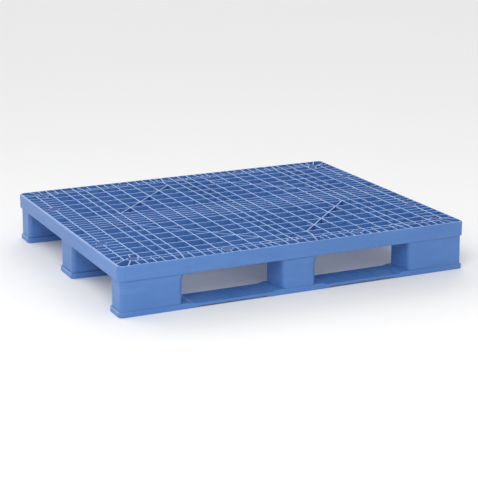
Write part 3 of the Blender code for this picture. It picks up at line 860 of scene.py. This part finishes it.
@dataclass
class Block:
    """A hollow block between runner and deck, with a flare towards each opening beside it."""

    node: str
    material: bpy.types.Material
    corner_radius: float = 0.014
    lead_in: float = 0.020
    end_lead_in: float = 0.010
    wall: float = 0.004
    draft: float = 0.001
    flare_reach: float = 0.015
    flare_height: float = 0.035
    flare_steps: int = 8
    spigot_radius: float = 0.014
    spigot_height: float = 0.0097
    hole_radius: float = 0.0040
    cell_round: float = 0.004
    boss_round: float = 0.016
    edge_round: float = 0.0005

    def __post_init__(self) -> None:
        """Work out the block's straight sides from its packed box."""
        row, column = self.node.removeprefix("block_").split("_")
        self.outward = {"-x": column == "left", "+x": column == "right",
                        "-y": row == "front", "+y": row == "rear"}
        self.at_side = row != "centre"
        low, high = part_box(self.node)
        flare = self.flare_reach
        beside = flare + (self.lead_in if self.at_side else 0.0)
        self.low = Vector((low.x + (0.0 if self.outward["-x"] else beside),
                           low.y + (0.0 if self.outward["-y"] else flare), low.z))
        self.high = Vector((high.x - (0.0 if self.outward["+x"] else beside),
                            high.y - (0.0 if self.outward["+y"] else flare), high.z - self.spigot_height))
        self.middle = (self.low + self.high) / 2

    def led_in(self, place: Vector) -> Vector:
        """Return how far a point of the straight block moves to widen the block towards its inner side."""
        outward = self.outward["+x" if place.x > self.middle.x else "-x"]
        if outward or not self.at_side:
            return Vector()
        outer_y, inner_y = (self.low.y, self.high.y) if self.outward["-y"] else (self.high.y, self.low.y)
        depth = min(1.0, max(0.0, (place.y - outer_y) / (inner_y - outer_y)))
        reach = (place.x - self.middle.x) / (self.high.x - self.middle.x)
        return Vector((self.lead_in * depth * min(1.0, max(-1.0, reach)), 0.0, 0.0))

    def drawn_in(self, place: Vector, inset: float = 0.0) -> Vector:
        """Return how far a point moves to make the block narrower towards the pallet's end.

        Args:
            place: A point of the straight block.
            inset: How far inside the block's sides its hollows stop.
        """
        if self.outward["+y" if place.y > self.middle.y else "-y"]:
            return Vector()
        core = self.wall / 2
        reach = (abs(place.y - self.middle.y) - core) / (self.high.y - self.middle.y - inset - core)
        return drawn_in(place, self.middle.y, min(1.0, max(0.0, reach)))

    def spread(self, place: Vector) -> Vector:
        """Return how far a point of the straight block moves: out with the flare, in with the draft."""
        rise = max(0.0, place.z - (self.high.z - self.flare_height)) / self.flare_height
        flare = self.flare_reach * (1.0 - math.sqrt(max(0.0, 1.0 - rise * rise)))
        draft = self.draft * (place.z - self.low.z) / (self.high.z - self.low.z)
        side_x = "+x" if place.x > self.middle.x else "-x"
        side_y = "+y" if place.y > self.middle.y else "-y"
        move_x = -draft if self.outward[side_x] else flare
        move_y = -draft if self.outward[side_y] else flare
        return Vector((math.copysign(1.0, place.x - self.middle.x) * move_x,
                       math.copysign(1.0, place.y - self.middle.y) * move_y, 0.0))

    def body(self) -> Shape:
        """Return the block's outer shape."""
        shape = Shape()
        shape.prism(self.low, self.high, [self.corner_radius] * 4, 10)
        start = self.high.z - self.flare_height
        for step in range(self.flare_steps):
            level = start + self.flare_height * math.sin(math.pi / 2 * step / self.flare_steps)
            shape.split(Vector((0.0, 0.0, level)), Vector((0.0, 0.0, 1.0)))
        shape.bend(shape.mesh.verts,
                   lambda place: self.spread(place) + self.led_in(place) + self.drawn_in(place))
        foot = [edge for edge in shape.mesh.edges if all(
            abs(end.co.z - self.low.z) < SAME_PLACE for end in edge.verts)]
        shape.round_edges(foot, self.edge_round, 2)
        return shape

    def cells(self) -> Shape:
        """Return the four hollows, open below, rounded off round the screw boss between them."""
        shape = Shape()
        inset = self.wall + self.draft
        for corner, (side_x, side_y) in enumerate(((-1, -1), (1, -1), (1, 1), (-1, 1))):
            near = self.middle + Vector((side_x, side_y, 0.0)) * (self.wall / 2)
            far_x = self.high.x - inset if side_x > 0 else self.low.x + inset
            far_y = self.high.y - inset if side_y > 0 else self.low.y + inset
            radii = [self.cell_round] * 4
            radii[corner] = self.corner_radius - inset
            radii[(corner + 2) % 4] = self.boss_round
            shape.prism((min(near.x, far_x), min(near.y, far_y), self.low.z - CUT_PAST),
                        (max(near.x, far_x), max(near.y, far_y), self.high.z - self.wall),
                        radii, 8, top_round=self.cell_round / 2)
        shape.bend(shape.mesh.verts, lambda place: self.led_in(place) + self.drawn_in(place, inset))
        return shape

    def build(self) -> None:
        """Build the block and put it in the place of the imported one."""
        piece = Workpiece(self.node.replace("block", "hollow_block"), self.body())
        spigot = Shape()
        top = self.high.z + self.spigot_height
        spigot.turned(self.middle, [(self.spigot_radius, self.high.z - self.wall / 2),
                                    (self.spigot_radius, top - self.edge_round),
                                    (self.spigot_radius - self.edge_round, top)], 40)
        piece.work(Step.JOIN, spigot)
        piece.work(Step.CUT, self.cells())
        hole = Shape()
        hole.turned(self.middle, [(self.hole_radius, self.low.z - CUT_PAST),
                                  (self.hole_radius, top + CUT_PAST)], 24)
        piece.work(Step.CUT, hole)
        piece.finish(self.material, Slot.BLOCK, self.node)


@dataclass
class Runner:
    """A runner with three feet, raised pads under the blocks, end lips and a ribbed underside."""

    node: str
    material: bpy.types.Material
    span_top: float = 0.0135
    span_lift: float = 0.0045
    pad_margin: float = 0.005
    pad_ramp: float = 0.016
    foot_margin: float = 0.040
    foot_ramp: float = 0.018
    lip_reach: float = 0.0055
    lip_side_reach: float = 0.001
    lip_height: float = 0.017
    top_wall: float = 0.004
    lip_round: float = 0.0045
    foot_round: float = 0.0015
    fold_round: float = 0.0030
    rib: float = 0.0035
    side_wall: float = 0.005
    end_wall: float = 0.020
    pad_wall: float = 0.004
    pocket_round: float = 0.003
    land: float = 0.036
    head_clearance: float = 0.0008
    hole_radius: float = 0.0040
    panel_depth: float = 0.0010
    panel_side_gap: float = 0.011
    panel_gap: float = 0.005
    panel_lead: float = 0.006

    def __post_init__(self) -> None:
        """Work out the runner's plan from its packed box and those of the blocks above it."""
        self.low, self.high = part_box(self.node)
        self.row = self.node.removeprefix("runner_")
        beside = Block.flare_reach + Block.lead_in
        self.inner_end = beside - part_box("block_front_left")[1].x
        self.half_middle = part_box("block_front_middle")[1].x - beside
        self.pad_ends = (self.half_middle + Block.lead_in + self.pad_margin,
                         self.inner_end - Block.lead_in - self.pad_margin)
        self.outer_end = -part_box(f"block_{self.row}_left")[0].x
        self.screws = [middle_of(node) for node in nodes_named(f"clamp_screw_{self.row}")]
        self.radii = [Block.corner_radius] * 4
        self.outward = {"-y": self.row == "front", "+y": self.row == "rear"}

    def drawn_in(self, place: Vector) -> Vector:
        """Return how far a point of the straight runner moves to make its ends narrower."""
        middle_y = (self.low.y + self.high.y) / 2
        fixed = self.outward["+y" if place.y > middle_y else "-y"]
        return Vector() if fixed else drawn_in(place, middle_y, 1.0)

    def end_lead(self, x: float) -> float:
        """Return how far the runner's inner sides are drawn in at X."""
        return abs(drawn_in(Vector((x, 0.0, 0.0)), 1.0, 1.0).y)

    def profile(self) -> list[tuple[float, float]]:
        """Return the side outline: three feet below, and raised pads with ramps above them."""
        inner_foot = self.half_middle + self.foot_margin
        outer_foot = self.inner_end - self.foot_margin
        inner_pad, outer_pad = self.pad_ends
        right = [
            (inner_foot, 0.0),
            (inner_foot + self.foot_ramp, self.span_lift),
            (outer_foot - self.foot_ramp, self.span_lift),
            (outer_foot, 0.0),
            (self.outer_end + 2 * self.lip_reach, 0.0),
            (self.outer_end + 2 * self.lip_reach, self.high.z),
            (outer_pad, self.high.z),
            (outer_pad - self.pad_ramp, self.span_top),
            (inner_pad + self.pad_ramp, self.span_top),
            (inner_pad, self.high.z),
        ]
        return right + [(-x, z) for x, z in reversed(right)]

    def plan(self) -> Shape:
        """Return the upper part of the runner's plan as a solid."""
        shape = Shape()
        shape.prism((-self.outer_end, self.low.y + self.lip_side_reach, self.lip_height / 2),
                    (self.outer_end, self.high.y - self.lip_side_reach, self.high.z + CUT_PAST),
                    self.radii, 12)
        self.draw_in(shape)
        return shape

    def lip(self) -> Shape:
        """Return the lower part of the plan, with the rounded lip."""
        shape = Shape()
        shape.prism((self.low.x, self.low.y, -FLOOR_LAP), (self.high.x, self.high.y, self.lip_height),
                    self.radii, 12, self.lip_round, self.foot_round)
        self.draw_in(shape)
        return shape

    def draw_in(self, shape: Shape) -> None:
        """Cut the runner's plan across where the corner blocks start, and draw its ends in."""
        for x in (-self.inner_end, self.inner_end):
            shape.split(Vector((x, 0.0, 0.0)), Vector((1.0, 0.0, 0.0)))
        shape.bend(shape.mesh.verts, self.drawn_in)

    def pockets(self) -> Shape:
        """Return the hollows of the ribbed underside, two rows of them between the screw lands."""
        shape = Shape()
        wall = self.lip_side_reach + self.side_wall
        low_y, high_y = self.low.y + wall, self.high.y - wall
        middle_y = (low_y + high_y) / 2
        half_rib, half_land = self.rib / 2, self.land / 2
        screw_x = abs(self.screws[0].x)
        inner_edge, pad_edge = self.pad_ends
        stretches = (
            (screw_x + half_land, self.outer_end - self.end_wall, 1, self.high.z),
            (pad_edge + self.pad_wall, screw_x - half_land, 2, self.high.z),
            (inner_edge + self.pad_ramp, pad_edge - self.pad_ramp, 9, self.span_top),
            (half_land, inner_edge - self.pad_wall, 1, self.high.z),
        )
        for start, end, count, ceiling in stretches:
            edges = evenly(start, end, count)
            for low_x, high_x in zip(edges, edges[1:]):
                lead = self.end_lead(high_x)
                front_y = low_y + (0.0 if self.outward["-y"] else lead)
                rear_y = high_y - (0.0 if self.outward["+y"] else lead)
                for side in SIDES:
                    near, far = sorted((side * (low_x + half_rib), side * (high_x - half_rib)))
                    for front, back in ((front_y, middle_y - half_rib), (middle_y + half_rib, rear_y)):
                        shape.prism((near, front, -CUT_PAST), (far, back, ceiling - self.top_wall),
                                    [self.pocket_round] * 4, 3, top_round=self.pocket_round / 2)
        return shape

    def screw_seats(self) -> Shape:
        """Return the counterbores and holes of the clamp screws."""
        shape = Shape()
        for node, screw in zip(nodes_named(f"clamp_screw_{self.row}"), self.screws):
            low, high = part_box(node)
            head = (high.x - low.x) / 2 + self.head_clearance
            seat = low.z + ClampScrew.head_height
            shape.turned(screw, [(head + 0.001, -CUT_PAST), (head + 0.001, 0.0), (head, 0.001), (head, seat),
                                 (self.hole_radius, seat), (self.hole_radius, self.high.z + CUT_PAST)], 32)
        return shape

    def span_panels(self) -> Shape:
        """Return the shallow panels in the top of each span."""
        shape = Shape()
        lead = self.pad_ramp + self.panel_lead
        edges = evenly(self.pad_ends[0] + lead, self.pad_ends[1] - lead, 4)
        for low_x, high_x in zip(edges, edges[1:]):
            for side in SIDES:
                near, far = sorted((side * (low_x + self.panel_gap), side * (high_x - self.panel_gap)))
                shape.prism((near, self.low.y + self.panel_side_gap, self.span_top - self.panel_depth),
                            (far, self.high.y - self.panel_side_gap, self.span_top + CUT_PAST),
                            [self.panel_lead] * 4, 5)
        return shape

    def build(self) -> None:
        """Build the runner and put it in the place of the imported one."""
        plan = Workpiece("runner_plan", self.plan())
        plan.work(Step.JOIN, self.lip())
        body = Shape()
        body.extruded(self.profile(), self.low.y - CUT_PAST, self.high.y + CUT_PAST, self.fold_round)
        piece = Workpiece(self.node.replace("runner", "skid_runner"), body)
        piece.work(Step.KEEP_INSIDE, plan.as_shape())
        for hollows in (self.pockets, self.screw_seats, self.span_panels):
            piece.work(Step.CUT, hollows())
        piece.finish(self.material, Slot.RUNNER, self.node)


@dataclass
class GripPlug:
    """An anti-slip plug: a short cylinder with a rounded rim, and two grooves and a dimple on top."""

    node: str
    material: bpy.types.Material
    edge_round: float = 0.0012
    groove_depth: float = 0.0006
    groove_brim: float = 0.0024
    groove_floor: float = 0.0014
    dimple_radius: float = 0.0022
    dimple_floor: float = 0.0014

    def build(self) -> None:
        """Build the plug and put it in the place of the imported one."""
        low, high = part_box(self.node)
        radius = (high.x - low.x) / 2
        top = high.z
        dip = top - self.groove_depth
        profile = [(radius - self.edge_round, low.z), (radius, low.z + self.edge_round)]
        for step in range(3):
            angle = math.pi / 2 * step / 2
            profile.append((radius - self.edge_round * (1.0 - math.cos(angle)),
                            top - self.edge_round * (1.0 - math.sin(angle))))
        half_brim, half_dip = self.groove_brim / 2, self.groove_floor / 2
        for share in (0.80, 0.50):
            middle = radius * share
            profile += [(middle + half_brim, top), (middle + half_dip, dip),
                        (middle - half_dip, dip), (middle - half_brim, top)]
        profile += [(self.dimple_radius, top), (self.dimple_floor, dip)]
        shape = Shape()
        shape.turned((low + high) / 2, profile, 40)
        Workpiece(self.node.replace("grip_plug", "anti_slip_plug"), shape).finish(
            self.material, Slot.PLUG, self.node)


@dataclass
class ClampScrew:
    """A thread-forming screw with a washer head and a hexagon socket."""

    node: str
    material: bpy.types.Material
    head_height: float = 0.0047
    washer_height: float = 0.0016
    washer_chamfer: float = 0.0004
    button_share: float = 0.72
    button_round: float = 0.0012
    button_rise: float = 0.0010
    socket_radius: float = 0.0034
    socket_depth: float = 0.0030
    thread_length: float = 0.022
    thread_pitch: float = 0.0018
    thread_depth: float = 0.0007
    shank_radius: float = 0.0032
    tip_length: float = 0.004
    tip_share: float = 0.3

    def build(self) -> None:
        """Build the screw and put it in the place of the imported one."""
        low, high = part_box(self.node)
        centre = (low + high) / 2
        head = (high.x - low.x) / 2
        button = head * self.button_share
        seat = low.z + self.head_height
        core = self.shank_radius - self.thread_depth
        thread_start = high.z - self.tip_length - self.thread_length
        profile = [
            (button - self.button_round, low.z),
            (button, low.z + self.button_rise),
            (button, seat - self.washer_height),
            (head - self.washer_chamfer, seat - self.washer_height),
            (head, seat - self.washer_height / 2),
            (head, seat),
            (self.shank_radius, seat),
            (self.shank_radius, thread_start),
        ]
        for turn in range(int(self.thread_length / self.thread_pitch)):
            root = thread_start + turn * self.thread_pitch
            profile += [(core, root + self.thread_pitch * 0.3), (core, root + self.thread_pitch * 0.6),
                        (self.shank_radius, root + self.thread_pitch)]
        profile.append((self.shank_radius * self.tip_share, high.z))
        shape = Shape()
        shape.turned(centre, profile, 24)
        piece = Workpiece(self.node.replace("clamp_screw", "washer_head_screw"), shape)
        socket = Shape()
        socket.turned(centre, [(self.socket_radius, low.z - CUT_PAST),
                               (self.socket_radius, low.z + self.socket_depth)], 6)
        piece.work(Step.CUT, socket)
        piece.finish(self.material, Slot.SCREW, self.node)


@dataclass
class SteelTube:
    """A square steel tube with rounded corners inside and out."""

    node: str
    material: bpy.types.Material
    wall: float = 0.0015
    outer_radius: float = 0.0025

    def build(self) -> None:
        """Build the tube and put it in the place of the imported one."""
        low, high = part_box(self.node)
        name = self.node.replace("steel_tube", "square_tube")
        piece = Workpiece(name, self.rod(low, high, self.outer_radius))
        wall = Vector((self.wall, -CUT_PAST, self.wall))
        piece.work(Step.CUT, self.rod(low + wall, high - wall, self.outer_radius - self.wall))
        piece.finish(self.material, Slot.TUBE, self.node)

    def rod(self, low: Vector, high: Vector, radius: float) -> Shape:
        """Return a bar along Y with rounded long edges."""
        shape = Shape()
        shape.prism(low, high)
        long_edges = [edge for edge in shape.mesh.edges
                      if abs(edge.verts[0].co.y - edge.verts[1].co.y) > radius]
        shape.round_edges(long_edges, radius, 4)
        return shape


# -------------------------------------------------------------------------------------- the studio


@dataclass
class Studio:
    """A white floor, soft light from all round and a camera off the front left corner."""

    floor_size: float = 120.0
    lens: float = 112.05
    sensor: float = 36.0
    eye: tuple[float, float, float] = (-2.0338, -4.4327, 1.4194)
    target: tuple[float, float, float] = (-0.0414, -0.1368, 0.0863)
    roll: float = -0.0041
    room_strength: float = 0.65

    def floor(self) -> None:
        """Lay the floor."""
        shape = Shape()
        bmesh.ops.create_grid(shape.mesh, x_segments=8, y_segments=8, size=self.floor_size / 2)
        item = shape.as_object("studio_floor")
        item.data.materials.append(StudioPaper("studio_paper").material())

    def room(self) -> None:
        """Fill the room with even white light."""
        world = bpy.data.worlds.new("studio_room")
        world.use_nodes = True
        background = world.node_tree.nodes["Background"]
        background.inputs["Color"].default_value = (1.0, 1.0, 1.0, 1.0)
        background.inputs["Strength"].default_value = self.room_strength
        bpy.context.scene.world = world

    def lamp(self, name: str, kind: str, place: Sequence[float], settings: dict[str, float]) -> None:
        """Add a lamp that faces the middle of the pallet.

        Args:
            name: The lamp's name.
            kind: Its type, a SUN for soft light from one side or an AREA for a soft box.
            place: Where it stands; for a sun only the direction counts.
            settings: Its strength and size.
        """
        light = bpy.data.lights.new(name, kind)
        for key, value in settings.items():
            setattr(light, key, value)
        self.hang(name, light, place, Vector(place).to_track_quat("Z", "Y"))

    def hang(self, name: str, data: bpy.types.ID, place: Sequence[float],
             turn: Quaternion) -> bpy.types.Object:
        """Put a lamp or a camera in its place.

        Args:
            name: The object's name.
            data: The lamp or the camera.
            place: Where it stands.
            turn: Which way it faces.

        Returns:
            The new object.
        """
        item = bpy.data.objects.new(name, data)
        item.location = place
        item.rotation_mode = "QUATERNION"
        item.rotation_quaternion = turn
        bpy.context.scene.collection.objects.link(item)
        return item

    def camera(self) -> None:
        """Set up the camera."""
        lens = bpy.data.cameras.new("studio_camera")
        lens.lens = self.lens
        lens.sensor_width = self.sensor
        lens.clip_end = 200.0
        aim = (Vector(self.target) - Vector(self.eye)).to_track_quat("-Z", "Y")
        turn = aim @ Quaternion((0.0, 0.0, 1.0), self.roll)
        bpy.context.scene.camera = self.hang("studio_camera", lens, self.eye, turn)

    def build(self) -> None:
        """Set up the whole studio."""
        self.floor()
        self.room()
        spread = math.radians(50.0)
        self.lamp("key_box", "AREA", (-2.0, -3.0, 3.0), {"energy": 88.0, "size": 2.4})
        self.lamp("back_left_lamp", "SUN", (-0.42, 0.80, 0.34), {"energy": 1.0, "angle": spread})
        self.lamp("back_right_lamp", "SUN", (0.41, 0.87, 0.27), {"energy": 1.2, "angle": spread})
        self.camera()
        bpy.context.scene.view_settings.view_transform = "Standard"


def main() -> None:
    """Build the studio and every piece of the pallet."""
    logging.basicConfig(level=logging.INFO, format="%(name)s %(message)s")
    Studio().build()
    # The deck's top faces get the painted highlight and the scuffs.
    DeckMoulding(MouldedPlastic("deck_plastic", top_highlight_and_scuff_level=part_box("deck")[1].z)).build()
    block_plastic = MouldedPlastic("block_plastic").material()
    for node in nodes_named("block_"):
        Block(node, block_plastic).build()
    runner_plastic = MouldedPlastic("runner_plastic").material()
    for node in nodes_named("runner_"):
        Runner(node, runner_plastic).build()
    rubber = GripRubber("grip_rubber").material()
    for node in nodes_named("grip_plug"):
        GripPlug(node, rubber).build()
    zinc = ZincPlate("zinc_plate").material()
    for node in nodes_named("clamp_screw"):
        ClampScrew(node, zinc).build()
    steel = GalvanisedSteel("galvanised_steel").material()
    for node in nodes_named("steel_tube"):
        SteelTube(node, steel).build()


if __name__ == "__main__":
    main()
